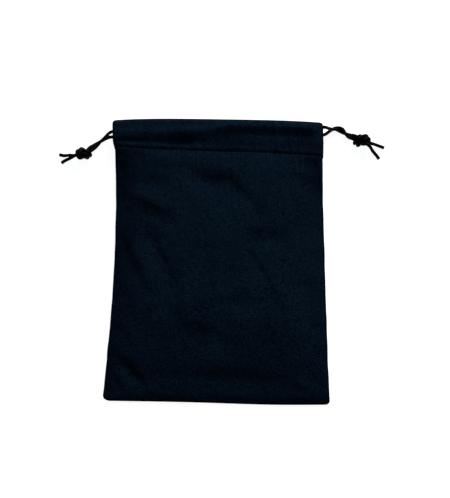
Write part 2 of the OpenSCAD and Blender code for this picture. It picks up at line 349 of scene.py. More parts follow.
def sheet_mesh(name, grid, normals, thickness, kept, material, painted_edge_shade=None):
    """A closed sheet of the grid's kept cells: an outer skin, an inner skin and walls round every edge.

    The skins are shaded by the given normals, so that two halves of one sheet meet without a line.
    """
    rows, cols = grid.shape[:2]
    count = rows * cols
    flat_normals = normals.reshape(-1, 3)
    points = np.vstack([grid.reshape(-1, 3), (grid - thickness * normals).reshape(-1, 3)])
    number = np.arange(count).reshape(rows, cols)
    a, b, c, d = number[:-1, :-1], number[:-1, 1:], number[1:, 1:], number[1:, :-1]
    outer = np.stack([a, d, c, b], axis=-1)[kept]
    inner = np.stack([a, b, c, d], axis=-1)[kept] + count
    padded = np.pad(kept, 1)
    walls = []
    for shift, first, last in (((0, 1), b, a), ((2, 1), d, c), ((1, 0), a, d), ((1, 2), c, b)):
        beyond = padded[shift[0] : shift[0] + rows - 1, shift[1] : shift[1] + cols - 1]
        edge = kept & ~beyond
        walls.append(np.stack([last, first, first + count, last + count], axis=-1)[edge])
    walls = np.vstack(walls)
    corner, second, third = (points[outer[:, k]] for k in range(3))
    if (np.cross(second - corner, third - corner) * flat_normals[outer[:, 0]]).sum() < 0:
        outer, inner, walls = outer[:, ::-1], inner[:, ::-1], walls[:, ::-1]
    faces = np.vstack([outer, inner, walls])
    corner = points[walls[:, 0]]
    wall_normals = unit(np.cross(points[walls[:, 1]] - corner, points[walls[:, 3]] - corner))
    corner_normals = np.vstack([
        flat_normals[outer.ravel()],
        -flat_normals[inner.ravel() - count],
        np.repeat(wall_normals, 4, axis=0),
    ])
    used = np.unique(faces)
    renumber = np.zeros(2 * count, int)
    renumber[used] = np.arange(len(used))
    # The painted shade towards the cloth's edges and base, for the points of both skins
    nap_grain_and_edge_shade = None if painted_edge_shade is None else np.tile(painted_edge_shade.ravel(), 2)[used]
    return make_mesh(name, points[used], renumber[faces], material, corner_normals, painted_edge_shade=nap_grain_and_edge_shade)


def carried_frames(line):
    """Directions along a line, and one square to it that is carried along without twisting."""
    ahead = unit(np.gradient(line, axis=0))
    side = np.zeros_like(line)
    side[0] = unit(np.cross(ahead[0], UP))
    for i in range(1, len(line)):
        side[i] = unit(side[i - 1] - ahead[i] * (side[i - 1] @ ahead[i]))
    return ahead, side, np.cross(ahead, side)


CORD_FULL = 1.04  # the soft cord's diameter against its nominal one
END_SPREAD = 0.07  # how much more its cut ends spread
KNOT_SPREAD = 0.09  # and its stretch in a knot
KNOT_REACH = 8.0  # from a knot's middle to where its strands have left it


def cord_mesh(name, line, knot_centre=None, sides=18):
    """A soft round cord along a line, with a faint braided relief."""
    ahead, side, over = carried_frames(line)
    along = np.concatenate([[0], np.cumsum(np.linalg.norm(np.diff(line, axis=0), axis=1))])
    turn = 2 * np.pi * np.arange(sides + 1) / sides
    braid = 0.5 * (np.abs(np.sin(np.pi * along / CORD_D)[:, None] * np.cos(3 * turn)[None]))
    from_end = np.minimum(along, along[-1] - along)
    spread = CORD_FULL + END_SPREAD * bell(from_end, 0.7)
    if knot_centre is not None:
        from_knot = np.linalg.norm(line - knot_centre, axis=1)
        spread += KNOT_SPREAD * (1 - ease(5.0, KNOT_REACH, from_knot))
    radius = CORD_R * spread[:, None] * (0.97 + 0.05 * braid)
    cos, sin = np.cos(turn)[None, :, None], np.sin(turn)[None, :, None]
    rings = (line[:, None] + radius[..., None] * (cos * side[:, None] + sin * over[:, None]))[:, :-1]
    n = len(line)
    points = np.vstack([rings.reshape(-1, 3), line[0] + 0.25 * ahead[0], line[-1] - 0.25 * ahead[-1]])
    faces, uv = [], []
    for i in range(n - 1):
        for k in range(sides):
            j = (k + 1) % sides
            faces.append((i * sides + k, i * sides + j, (i + 1) * sides + j, (i + 1) * sides + k))
            u0, u1 = along[i] / CORD_D, along[i + 1] / CORD_D
            v0, v1 = k / sides, (k + 1) / sides
            uv += [(u0, v0), (u0, v1), (u1, v1), (u1, v0)]
    for k in range(sides):
        j = (k + 1) % sides
        faces.append((k, n * sides, j))
        faces.append(((n - 1) * sides + k, (n - 1) * sides + j, n * sides + 1))
        uv += [(0, k / sides), (0, 0.5), (0, j / sides)] + [(0, k / sides), (0, j / sides), (0, 0.5)]
    return make_mesh(name, points, faces, CORD, uv=uv)


# ---- Drawcords ----

# Each pair of strands as [x, y, z, half the distance between the strands, turn of the pair in degrees].
# They follow the CAD's routes, but the left pair closes a little sooner.
PAIR_ROUTES = {
    LEFT: [
        [-64, 79.8, 5.5, 3.85, 90],
        [-66, 79.6, 5.2, 3.1, 90],
        [-68.2, 78.8, 3.6, 1.7, 90],
        [-70.2, 77.7, 2.4, 1.05, 80],
        [-72.2, 76.3, 2, 1.05, 65],
        [-74.2, 74.6, 1.7, 1.05, 35],
        [-76, 72.8, 1.2, 1.05, 0],
        [-77.4, 71.2, 1.6, 1.05, -15],
        [-78.8, 69.8, 2.6, 1.05, -20],
    ],
    RIGHT: [
        [64, 84, 5.5, 3.95, 77],
        [66, 84.4, 5.3, 3.6, 80],
        [68, 85.6, 3.8, 2.2, 88],
        [70, 86.8, 2.2, 1.05, 105],
        [72.4, 87.7, 1.8, 1.05, 140],
        [74.6, 87.6, 1.2, 1.05, 180],
        [76.3, 86.4, 1.8, 1.05, 225],
        [77.6, 84.9, 2.1, 1.05, 270],
        [79.2, 83.7, 1.8, 1.05, 315],
        [81.2, 82.6, 1.2, 1.05, 360],
        [83, 81.4, 1.6, 1.05, 380],
        [84.6, 80.4, 2.8, 1.05, 395],
    ],
}
# The tails, from inside the knot to the cut ends
TAIL_ROUTES = {
    LEFT: {
        "front": [[-86, 66, 4], [-88.4, 66.3, 3], [-91.2, 66.8, 1.4], [-94, 66.9, 1], [-96.8, 67.6, 1]],
        "back": [[-86, 65.6, 2], [-88.4, 65.6, 1.2], [-91.2, 64.8, 1], [-93.4, 63.6, 1], [-95.2, 62, 1]],
    },
    RIGHT: {
        "front": [[91.8, 78.6, 3], [94.4, 78.2, 1.6], [97.2, 77.4, 1], [99.6, 76.4, 1], [102, 75.4, 1]],
        "back": [[90.4, 75.8, 2.6], [92.6, 74.6, 1.2], [95, 72.8, 1], [97, 70.6, 1], [98.6, 68, 1]],
    },
}
# Which tail the front strand comes out of the knot into, and how far the knot is rolled about its length
TAIL_OF_FRONT = {LEFT: "front", RIGHT: "back"}
KNOT_ROLL = {LEFT: 330, RIGHT: 240}


def strand_route(side, way):
    """The middle line of one strand of a twisted pair, from the casing to its knot."""
    pair = np.array(PAIR_ROUTES[side], float)
    flat = pair[:, :3] * [1, 1, 0]
    ahead = unit(np.vstack([flat[1] - flat[0], flat[2:] - flat[:-2], flat[-1] - flat[-2]]))
    across = np.stack([-ahead[:, 1], ahead[:, 0], 0 * ahead[:, 0]], axis=-1)
    turn = np.radians(pair[:, 4:5])
    return pair[:, :3] + way * pair[:, 3:4] * (np.cos(turn) * across + np.sin(turn) * UP)


def tie_knot(room=1.2 * CORD_D, nodes=66, span=36.0, tighten=0.0012, tight=1.04, most_rounds=2500):
    """Two strands side by side in a tight overhand knot, as lines from the casing's side to the tails.

    The lines get shorter until the strands, which keep this much room between their middles, hold them.
    """
    t = np.linspace(-2.25, 2.25, 600)
    loose = room * np.stack([2.8 * (t**3 - 3 * t), 2 * (t**4 - 4 * t**2), 2.8 * (t**5 / 10 - t)], axis=-1)
    loose = even(loose, length_of(loose) / (nodes - 1))
    _, beside, _ = carried_frames(loose)
    apart = 0.53 * room
    lines = np.stack([loose + apart * beside, loose - apart * beside])
    rest = length_of(loose) / (nodes - 1)
    number = np.arange(2 * nodes)
    same = (number[:, None] // nodes) == (number[None] // nodes)
    steps_apart = np.abs(number[:, None] - number[None])
    held = [0, nodes - 1, nodes, 2 * nodes - 1]
    start = lines[:, [0, -1]].copy()
    way = math.copysign(span / 2, loose[-1, 0])
    goal = np.array([[[-way, y, 0], [way, y, 0]] for y in (apart, -apart)])
    spreading = 400  # the rounds in which the ends are led to their places
    for turn in range(most_rounds):
        share = min(1.0, turn / spreading)
        lines[:, [0, -1]] = start * (1 - share) + goal * share
        rest *= 1 - tighten
        # Each link goes back to its length, and the lines are smoothed
        for _ in range(2):
            step = np.diff(lines, axis=1)
            long = np.linalg.norm(step, axis=2, keepdims=True)
            fix = 0.5 * (long - rest) / long * step
            lines[:, 1:-1] += 0.9 * (fix[:, 1:] - fix[:, :-1])
        lines[:, 1:-1] += 0.25 * ((lines[:, :-2] + lines[:, 2:]) / 2 - lines[:, 1:-1])
        # Strands that are too close move apart, but neighbours along one line don't
        free = ~(same & (steps_apart * rest < 1.45 * room))
        points = lines.reshape(-1, 3)
        for _ in range(3):
            gap = points[None] - points[:, None]
            far = np.linalg.norm(gap, axis=2)
            meet = (far < room) & free
            push = np.where(meet, 0.5 * (far - room) / np.maximum(far, 1e-6), 0)[..., None] * gap
            move = 1.4 * push.sum(1) / np.maximum(meet.sum(1), 1)[:, None]
            move[held] = 0
            points = points + move
        lines = points.reshape(2, nodes, 3)
        if turn > spreading and length_of(lines[0]) + length_of(lines[1]) > 2 * tight * rest * (nodes - 1):
            break
    return lines


def knot_piece(lines, radius=7.0):
    """The stretch of each line near the knot, with the knot's middle at the origin."""
    every = lines.reshape(-1, 3)
    middle = lines.mean(0)
    bulk = np.array([(np.linalg.norm(every - p, axis=1) < 4.0).sum() for p in middle])
    centre = (middle * (bulk**3)[:, None]).sum(0) / (bulk**3).sum()
    cut = []
    for line in lines:
        near = np.flatnonzero(np.linalg.norm(line - centre, axis=1) < radius)
        cut.append(line[near[0] : near[-1] + 1] - centre)
    return cut


def axes_of(entry, leave):
    """Three square axes from the directions in which a knot's strands come in and go out."""
    first = unit(entry - leave)
    both = entry + leave
    second = unit(both - first * (both @ first))
    return np.stack([first, second, np.cross(first, second)])


def settle_joins(lines, near, centre):
    """Smooths two lines where they join the knot.

    On the casing's side, where near points, they are drawn together until they touch. On the tails' side
    they are only kept from going through each other.
    """
    for _ in range(40):
        for one, other in (lines, lines[::-1]):
            away = np.linalg.norm(one - centre, axis=1)
            join = ease(4.2, 6.5, away) * (1 - ease(11.0, 13.0, away))
            one[1:-1] += 0.5 * join[1:-1, None] * ((one[:-2] + one[2:]) / 2 - one[1:-1])
            gap = other[None] - one[:, None]
            far = np.linalg.norm(gap, axis=2)
            size = far.min(axis=1)
            step = gap[np.arange(len(one)), far.argmin(axis=1)]
            excess = size - 1.02 * CORD_D
            excess = np.where((one - centre) @ near > 0, excess, np.minimum(0, excess))
            excess *= size < 2.5 * CORD_D
            one += (0.3 * join * excess / size)[:, None] * step


def knot_centre_of(side):
    """The middle of a side's knot in the CAD."""
    low, high = node_box(SIDE_NAMES[side] + "_knot")
    return (low + high) / 2


def strands_with_knot(side, knot):
    """A side's front and back strands, each from the casing through the knot to its cut end."""
    strands = [strand_route(side, 1), strand_route(side, -1)]
    tails = [np.array(TAIL_ROUTES[side][w], float) for w in ("front", "back")]
    centre = knot_centre_of(side)
    entry = np.mean([s[-1] for s in strands], axis=0) - centre
    leave = np.mean([t[1] for t in tails], axis=0) - centre
    entry[2] = leave[2] = 0
    own = axes_of(unit(sum(k[0] for k in knot)), unit(sum(k[-1] for k in knot)))
    roll = math.radians(KNOT_ROLL[side])
    cos, sin = math.cos(roll), math.sin(roll)
    rolled = np.array([[1, 0, 0], [0, cos, sin], [0, -sin, cos]])
    wanted = rolled @ axes_of(unit(entry), unit(leave))
    placed = [k @ own.T @ wanted for k in knot]
    lift = CORD_R + 0.05 - min(p[:, 2].min() for p in placed)
    placed = [p + [centre[0], centre[1], lift] for p in placed]
    if np.linalg.norm(placed[0][0] - strands[0][-1]) > np.linalg.norm(placed[1][0] - strands[0][-1]):
        placed.reverse()
    if TAIL_OF_FRONT[side] == "back":
        tails.reverse()
    lines = []
    for strand, piece, tail in zip(strands, placed, tails):
        strand = strand[np.linalg.norm(strand - centre, axis=1) > KNOT_REACH]
        tail = tail[np.linalg.norm(tail - centre, axis=1) > KNOT_REACH]
        lines.append(even(spline(np.vstack([strand, piece[::2], tail]), 8), 0.45))
    settle_joins(lines, unit(entry), centre)
    for line in lines:
        for _ in range(6):
            line[1:-1] += 0.5 * ((line[:-2] + line[2:]) / 2 - line[1:-1])
        line[:, 2] = np.maximum(line[:, 2], CORD_R + 0.02)
    return lines


def squareness(y):
    """The side edges are round, and squarer at the casing's ends: the power of a superellipse."""
    return 2 + 3.0 * ease(STITCH_Y - 6, STITCH_Y + 8, y)


def squarish(angle, power):
    """Across and up, from 0 to 1, at an angle round a superellipse."""
    across, up = np.abs(np.cos(angle)), np.abs(np.sin(angle))
    size = (across**power + up**power) ** (-1 / power)
    return across * size, up * size


def run_route(side, cord_y, lean):
    """A drawcord inside its casing: along the front, round the far end of the mouth and back."""
    turn_x = MOUTH_HALF - (end_high[2] - end_low[2]) / 2 - 0.4
    out = np.linspace(-(MOUTH_HALF + 0.5), turn_x, 90)
    bend = np.radians(np.linspace(90, -90, 41))[1:-1]
    half = RUN_R / math.cos(lean)
    across, up = squarish(bend, squareness(cord_y))
    x = np.concatenate([out, turn_x + half * across, out[::-1]])
    high = np.concatenate([0 * out + half, half * up * np.sign(bend), 0 * out - half])
    return np.stack([-side * x, cord_y + high * math.sin(lean), MID_Z + high * math.cos(lean)], axis=-1)


# The gather's reach, along a slant: this far from the middle of the mouth, to the drawcord's loop
GATHER_LENGTH = 66.8
GATHER_SLANT = 0.5


def gather_reach(side):
    """The way from the middle of the mouth to where the cloth would be fully drawn in."""
    return GATHER_LENGTH * unit(np.array([side, GATHER_SLANT, 0.0]))


def gather(piece, side):
    """Bakes the piece's placing into its mesh. Where a gather on this side would start and end is worked
    out, but nothing uses it.
    """
    start = np.array([0, MOUTH_Y, 0])
    end = start + gather_reach(side)
    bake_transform(piece)


def hold(piece, side):
    """A piece on no side is attached to the pouch, and a piece on a side has its placing baked into its
    mesh.
    """
    if side is None:
        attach(piece, "pouch")
    else:
        gather(piece, side)


def draw_along(piece, side, cord_y):
    """Bakes the run's placing into its mesh. Where its bunching would start and end is worked out, but
    nothing uses it.
    """
    reach = gather_reach(-side)
    loop = np.array([-side * MOUTH_HALF, cord_y - MOUTH_Y, 0])
    share = float(loop @ reach) / GATHER_LENGTH**2
    across = 2 * MOUTH_HALF
    start_x = -side * (MOUTH_HALF + across * share / (1 - share))
    start, end = (start_x * MM, 0, 0), (side * MOUTH_HALF * MM, 0, 0)
    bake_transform(piece)
    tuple(start)
    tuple(end)


def build_cords():
    knot = knot_piece(tie_knot())
    for side, cord_y, lean in ((LEFT, LEFT_CORD_Y, 0.0), (RIGHT, RIGHT_CORD_Y, RIGHT_LEAN)):
        name = SIDE_NAMES[side]
        run = cord_mesh(f"{name}_drawcord_in_casing", run_route(side, cord_y, lean))
        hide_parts(f"{name}_drawcord_run")
        draw_along(run, side, cord_y)
        centre = knot_centre_of(side)
        for which, line in zip(("front", "back"), strands_with_knot(side, knot)):
            piece = cord_mesh(f"{name}_drawcord_{which}_end", line, centre)
            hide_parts(f"{name}_{which}_strand", f"{name}_{which}_tail", f"{name}_knot")
            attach(piece, f"{name}_draw")
            round(length_of(line) * MM, 3)


build_cords()


# ---- The pouch's shape ----

BASE_SHIFT = 1.4  # the base sits a little to the right of the mouth
WAIST_IN = {LEFT: 3.1, RIGHT: 0.2}
CORNER_R = {LEFT: 4.0, RIGHT: 2.0}
FLARE = {LEFT: 1.1, RIGHT: 0.5}  # how far the casing's ends stick out past the cloth under them


def half_width(side, y):
    """From the middle to a side's edge at y."""
    up = (y - BASE_Y) / (MOUTH_Y - BASE_Y)
    low = np.maximum(0, BASE_Y + CORNER_R[side] - y)
    corner = CORNER_R[side] - np.sqrt(np.maximum(0, CORNER_R[side] ** 2 - low**2))
    base_half = BASE_HALF + side * BASE_SHIFT
    straight = base_half + (MOUTH_HALF - base_half) * up
    waist = WAIST_IN[side] * np.sin(np.pi * np.clip(up, 0, 1))
    return straight - waist - corner + FLARE[side] * ease(STITCH_Y - 1, STITCH_Y + 9, y)


def casing_half_thickness(y):
    """Half the casing's thickness: pinched at the stitching, full over the cords and slimmer at the fold."""
    full = 0.15 * ease(STITCH_Y, STITCH_Y + 1.5, y) + 0.85 * ease(STITCH_Y + 3, STITCH_Y + 8.5, y)
    fold = ease(MOUTH_Y - 3.2, MOUTH_Y - 0.6, y)
    return HEM_HALF + (TUNNEL_HALF - HEM_HALF) * full * (1 - fold) + (FOLD_R - HEM_HALF) * fold


def puffed(y):
    """0 where the pouch's edges lie flat, and 1 where the casing holds them apart."""
    return ease(38, STITCH_Y, y)


def edge_radius(y):
    """The radius of the pouch's side edges."""
    return EDGE_R + (RUN_R + HEM_HALF - EDGE_R) * puffed(y)


def middle_height(y):
    """How high the side edges' middle is."""
    return EDGE_R + (MID_Z - EDGE_R) * puffed(y)


def base_closing(x, y):
    """How far the pouch is open: 0 at the base's seam and 1 a little above it.

    It rounds over quickly on the left, and slopes up more evenly on the right.
    """
    down = np.clip(1 - (y - BASE_Y) / BASE_ROUND, 0, 1)
    rounded = np.sqrt(np.maximum(0, 1 - down**2))
    sloping = ease(-14, 4, x) * (1 - ease(50, 60, x))
    return rounded + 0.8 * (1 - down**1.5 - rounded) * sloping


def top_height(y):
    """The height of the middle of the front: low at the base, full at the belly, lower at the stitching."""
    belly = 2 * EDGE_R + BELLY_RISE * ease(BASE_Y - 6, -35, y)
    stitching = MID_Z + RUN_R + HEM_HALF
    return belly + (stitching - belly) * ease(46, STITCH_Y, y)


def profile():
    """The rows of a panel, from the base's seam up the outside, round the fold and down the hem inside.

    Each is its place y, the radius of its side edges, and how far it stands in from the outer skin's edge.
    """
    rows = []
    base = BASE_Y + BASE_ROUND * (1 - np.cos(np.linspace(0, np.pi / 2, 8)))
    body = np.linspace(BASE_Y + BASE_ROUND, STITCH_Y - 8, 106)[1:]
    near = np.linspace(STITCH_Y - 8, STITCH_Y, 15)[1:]
    for y in np.concatenate([base, body, near]):
        rows.append((y, edge_radius(y), 0.0))
    fold_y = MOUTH_Y - FOLD_R
    for y in np.linspace(STITCH_Y, fold_y, 34)[1:]:
        rows.append((y, RUN_R + casing_half_thickness(y), 0.0))
    for angle in np.radians(np.linspace(0, 180, 10))[1:-1]:
        step_in = FOLD_R * (1 - math.cos(angle))
        rows.append((fold_y + FOLD_R * math.sin(angle), RUN_R + FOLD_R - step_in, step_in))
    for y in np.linspace(fold_y, STITCH_Y, 34):
        half = casing_half_thickness(y)
        rows.append((y, RUN_R - half, 2 * half))
    for y in np.linspace(STITCH_Y, STITCH_Y - HEM_TAIL, 5)[1:]:
        rows.append((y, edge_radius(y) - 2 * HEM_HALF, 2 * HEM_HALF))
    return np.array(rows)


LAP_DEPTH = 0.04  # how far under the right half the left one goes
ARC_STEPS = 18  # round each side edge
FLAT_STEPS = 84  # on each side of the middle
ROWS = profile()
TURN = int(np.argmax(ROWS[:, 0]))  # the row at the very edge of the mouth
STITCH_ROW = int(np.argmin(np.abs(ROWS[:TURN, 0] - STITCH_Y)))


def stitch_tilt(x, y):
    """The line of stitches runs a little downhill to the right, and the cloth's rows go with it."""
    near = ease(STITCH_Y - 30, STITCH_Y, y) * (1 - ease(STITCH_Y + 1, STITCH_Y + 9, y))
    return (-0.032 * x + 0.35 * np.sin(x / 17.0)) * near


def edge_bow(x, y):
    """The mouth's edge bows up a little in the middle, and the base's edge sags a little on the right."""
    drop = np.where(x < 0, 1.7, 1.3) * np.abs(x / MOUTH_HALF) ** 3.5
    mouth = ease(STITCH_Y, MOUTH_Y, y) * (1.15 - drop)
    base = (1 - ease(BASE_Y, BASE_Y + 25, y)) * (0.2 + 0.9 * bell(x - 34, 36))
    return mouth - base


def panel_grid(face):
    """The outer skin of the front panel (face 1) or back panel (face -1), without its wrinkles."""
    y, radius, step_in = (ROWS[:, k : k + 1] for k in range(3))
    middle = np.where((step_in > 0) & (y >= STITCH_Y), MID_Z, middle_height(y))
    arc = np.linspace(0, np.pi / 2, ARC_STEPS + 1)[None, :-1]
    parts_x, parts_z = [], []
    reach = {s: half_width(s, y) - radius - step_in for s in (LEFT, RIGHT)}
    across, up = squarish(arc, squareness(y))
    parts_x.append(-(reach[LEFT] + radius * across))
    parts_z.append(radius * up)
    share = np.linspace(-1, 1, 2 * FLAT_STEPS + 1)[None]
    parts_x.append(share * np.where(share < 0, reach[LEFT], reach[RIGHT]))
    crown = (top_height(y) - middle - radius) * (face > 0) * (step_in == 0) * (y < STITCH_Y)
    fall = np.where(share < 0, np.abs(share) ** 3.8, np.abs(share) ** 8)
    parts_z.append(radius + np.maximum(0, crown) * (1 - fall))
    parts_x.append((reach[RIGHT] + radius * across)[:, ::-1])
    parts_z.append((radius * up)[:, ::-1])
    x = np.hstack(parts_x)
    above = np.hstack(parts_z) * base_closing(x, y)
    z = middle + face * above
    yy = y + stitch_tilt(x, y) + edge_bow(x, y)
    return np.stack([x, yy, z], axis=-1)


FOLD_SCALE = 1.75
# Folds are steepest on the upper right of hollows and the lower left of ridges
FOLD_LEAN = np.array([0.42, 0.91])
FOLD_GENTLE = 0.5
# Soft folds in the front, as [x, y at one end, x, y at the other, half width, height]. Hollows are negative.
FOLDS = [
    [-41, 15, -34, -1, 3.4, -0.75],
    [-34, -1, -27, -15, 3.2, -0.75],
    [-27, -16, -25, -32, 3.6, -0.55],
    [-57, 10, -52, -3, 3.8, -1.10],
    [-52, -3, -45, -19, 3.6, -1.00],
    [-46, 4, -38, -16, 4.5, 0.45],
    [-60, -12, -53, -34, 5, -0.80],
    [-60, 43, -57, 30, 5, -1.10],
    [-60, 60, -58, 50, 5, -1.00],
    [-49, 39, -31, 29, 3.4, 0.80],
    [-48, 28, -38, 26, 3.4, -0.40],
    [-37, 26, -30, 22, 3.2, -0.35],
    [-45, 48, -37, 46, 3.4, -0.70],
    [-37, 44, -25, 44, 4.5, -0.40],
    [-40, 60, -20, 60, 5.5, 0.80],
    [-20, 54, -8, 49, 4, -0.80],
    [-10, 47.5, 7, 47, 4.6, -1.40],
    [7, 45, 20, 31, 5, -1.00],
    [8, 56, 36, 56, 7, 0.60],
    [-12, 60, 4, 59, 4, 0.50],
    [44, 50, 55, 50, 4.2, -0.70],
    [28, 12, 36, 10, 4.4, -0.85],
    [20, 22, 28, 12, 3.6, 0.50],
    [19, 1, 26, -9, 1.6, -0.30],
    [26, -9, 35, -25, 1.6, -0.35],
    [32, -14, 39, -30, 2.6, 0.40],
    [-27, -36, -21, -42, 4, -0.70],
    [-20, -50, 0, -52, 6.5, -1.15],
    [2, -48, 10, -32, 5, -0.80],
    [10, -31, 32, -31, 5, -0.50],
    [13, -38, 16, -44, 4, 0.50],
    [-63, -45, -56, -47, 3.6, -1.10],
    [54, -20, 56, -54, 5, -0.90],
    [54, 60, 55, -20, 6, -0.50],
    [-58, -63, -50, -69, 3, -0.90],
    [-50, -69, -42, -79, 3, -1.10],
    [-60, -66, -51, -78, 2.2, 0.45],
    [-64, -67, -58, -78, 4, -1.00],
    [-61, -77, -55, -83, 2.6, -0.70],
    [-30, -76, 42, -77, 6, -0.90],
    [-41, -83, 30, -82, 3, 0.40],
    [65, -86, 48, -77, 1.6, 0.40],
    [65, -88, 47, -83, 1.4, 0.35],
    [60, -83, 48, -79, 1.5, -0.35],
    [62, -79, 53, -69, 2, -0.35],
]


def folds(x, y):
    """The height of all the folds."""
    total = np.zeros_like(x)
    for x0, y0, x1, y1, width, height in FOLDS:
        dx, dy = x1 - x0, y1 - y0
        t = np.clip(((x - x0) * dx + (y - y0) * dy) / (dx * dx + dy * dy), 0, 1)
        from_x, from_y = x - x0 - t * dx, y - y0 - t * dy
        away = np.hypot(from_x, from_y) / width
        leaning = (from_x * FOLD_LEAN[0] + from_y * FOLD_LEAN[1]) / width * (1 if height < 0 else -1)
        away *= FOLD_GENTLE + (1 - FOLD_GENTLE) * ease(-0.8, 0.8, leaning)
        ends = 0.45 + 0.55 * np.sin(np.pi * np.clip(t, 0.12, 0.88))
        total += height * np.exp(-(away**2)) * ends
    return total


def body_relief(face, x, y, from_edge, seed):
    """Folds and unevenness on the body, and small puckers along the side seams and the base's."""
    body = ease(BASE_Y, BASE_Y + 8, y) * (1 - ease(STITCH_Y - 5, STITCH_Y, y)) * ease(-2, 5, from_edge)
    if face > 0:
        yield body * FOLD_SCALE * folds(x, y)
        yield body * (0.45 * wobble(x, y, 24, seed) + 0.16 * wobble(x, y, 10, seed + 1))
    else:
        yield body * (0.20 * wobble(x, y, 30, seed) - 0.15)
    side_pucker = bell(from_edge, 7.0) * body
    yield side_pucker * 0.30 * np.sin(y / 3.1 + 2.2 * wobble(x, y, 22, seed + 2))
    base_pucker = bell(y - BASE_Y, 6.0) * ease(BASE_Y, BASE_Y + 2, y)
    yield base_pucker * 0.22 * np.sin(x / 2.6 + 2.0 * wobble(x, y, 20, seed + 3))


def stitching_relief(x, y, seed):
    """A groove where the thread pulls the layers together, with a pucker at every stitch."""
    from_stitch = y - STITCH_Y
    yield -0.5 * bell(from_stitch, 0.75)
    yield 0.20 * np.exp(-np.abs(from_stitch) / 2.2) * np.cos(2 * np.pi * x / STITCH_PITCH)
    yield 0.26 * np.exp(-np.abs(from_stitch) / 6.0) * wobble(x, 0.4 * y, 4.6, seed + 4)


def gathers(x, y, seed):
    """Fine gathers towards the mouth, standing outwards only, as the cords lie close under the cloth."""
    wave = 0.5 + 0.5 * np.sin(x / 1.15 + 2.6 * wobble(x, 0.35 * y, 12, seed + 5))
    at_fold = ease(MOUTH_Y - 1.5, MOUTH_Y, y)
    height = np.where(y > STITCH_Y, 0.34, 0.22) * ease(10, STITCH_Y, y) * (1 - at_fold * 0.6)
    yield height * wave
    swell = 0.35 * (0.5 + 0.5 * wobble(x, y, 19, seed + 6))
    yield swell * (y > STITCH_Y) * (1 - ease(MOUTH_Y - 3, MOUTH_Y, y))


RIDGE_Y = 78.2  # at the left end
RIDGE_CLIMB = 4.0
RIDGE_HEIGHT = 1.9
HOLLOW_DEPTH = 0.4
HOLLOW_BELOW = 6.2


def cord_ridge(face, x, y, from_edge, seed):
    """The cords show through the front of the casing as a ridge that climbs to the right, over a hollow."""
    ridge_y = RIDGE_Y + RIDGE_CLIMB * ease(-20, 14, x)
    tunnel = ease(STITCH_Y + 1, STITCH_Y + 4, y) * (1 - ease(MOUTH_Y - 2, MOUTH_Y, y))
    tunnel *= ease(1, 8, from_edge)
    waver = (1 + 0.3 * wobble(x, y, 14, seed + 7)) * (0.35 + 0.65 * ease(-48, -22, x)) * (face > 0)
    yield tunnel * waver * RIDGE_HEIGHT * bell(y - ridge_y, 3.0)
    yield -tunnel * waver * HOLLOW_DEPTH * bell(y - ridge_y + HOLLOW_BELOW, 2.4)


def side_groove(grid, y, from_edge):
    """The side seams lie in a slight groove."""
    across = np.abs(grid[..., 2] - np.where(y > STITCH_Y, MID_Z, middle_height(y)))
    return -0.22 * bell(across, 0.5) * (from_edge < 1.5) * (y < STITCH_Y + 8)


def relief(face, grid):
    """How far the outer skin stands out from its plain shape. The hem inside is left plain."""
    x, y = grid[..., 0], np.broadcast_to(ROWS[:, :1], grid.shape[:2])
    from_edge = np.minimum(half_width(LEFT, y) + x, half_width(RIGHT, y) - x)
    seed = 3.1 * face + 10
    layers = [
        *body_relief(face, x, y, from_edge, seed),
        *stitching_relief(x, y, seed),
        *gathers(x, y, seed),
        *cord_ridge(face, x, y, from_edge, seed),
        side_groove(grid, y, from_edge),
    ]
    return sum(layers) * (ROWS[:, 2:3] == 0)


# Each casing end has two openings for its cord, front and back
EXIT_TURNS = 25, 48  # how far round the edge they go, in degrees
EXIT_HALF = CORD_R + 0.5  # half their size along Y


def exit_y(side, face):
    """Where the front strand (face 1) or back strand (face -1) of a side comes out of its casing end."""
    return LEFT_CORD_Y if side == LEFT else RIGHT_CORD_Y + face * RUN_R * math.tan(RIGHT_LEAN)


def kept_cells(grid, face):
    """Which cells there is cloth in: all but those of the openings."""
    y = (ROWS[:-1, 0] + ROWS[1:, 0])[:, None] / 2
    outside = (ROWS[1:, 2] == 0)[:, None]
    arc = ((np.arange(grid.shape[1] - 1) + 0.5) * 90 / ARC_STEPS)[None]
    kept = np.ones((grid.shape[0] - 1, grid.shape[1] - 1), bool)
    for side, turn in ((LEFT, arc), (RIGHT, arc[:, ::-1])):
        near = np.abs(y - exit_y(side, face)) < EXIT_HALF
        kept &= ~(outside & near & (turn > EXIT_TURNS[0]) & (turn < EXIT_TURNS[1]))
    return kept


def kept_apart(grid, face):
    """Keeps the back above the floor, and the front above the seam allowances inside."""
    z = grid[..., 2]
    if face < 0:
        z[:] = np.maximum(z, 0.05)
        return grid
    y = ROWS[:TURN, :1]
    lowest = middle_height(y) + 1.0
    body = (y > BASE_Y + BASE_ROUND) & (y < STITCH_Y - 1)
    flat = z[:TURN, ARC_STEPS:-ARC_STEPS]
    flat[:] = np.where(body, 0.5 * (flat + lowest + np.hypot(flat - lowest, 0.25)), flat)
    return grid


# Painted shade: by the side seams and the base the cloth's colour is darkened by this share
EDGE_SHADE_SHARE = {LEFT: 0.44, RIGHT: 0.30}
BASE_SHADE_SHARE = 0.36


def painted_edge_shade(grid):
    """How much painted shade darkens the cloth towards its side seams and base, over the grid."""
    x, y = grid[..., 0], np.broadcast_to(ROWS[:, :1], grid.shape[:2])
    below_casing = 1 - ease(STITCH_Y - 2, STITCH_Y + 2, y)
    total = BASE_SHADE_SHARE * bell(y - BASE_Y, 9.0)
    for side in (LEFT, RIGHT):
        from_edge = half_width(side, y) - side * x
        total = np.maximum(total, below_casing * EDGE_SHADE_SHARE[side] * bell(from_edge, 11.0))
    return total


def outward_normals(grid, face):
    """A skin's normals, turned to point out of the bag."""
    normals = surface_normals(grid)
    on_belly = normals[20, FLAT_STEPS]
    return normals if on_belly[2] * face > 0 else -normals


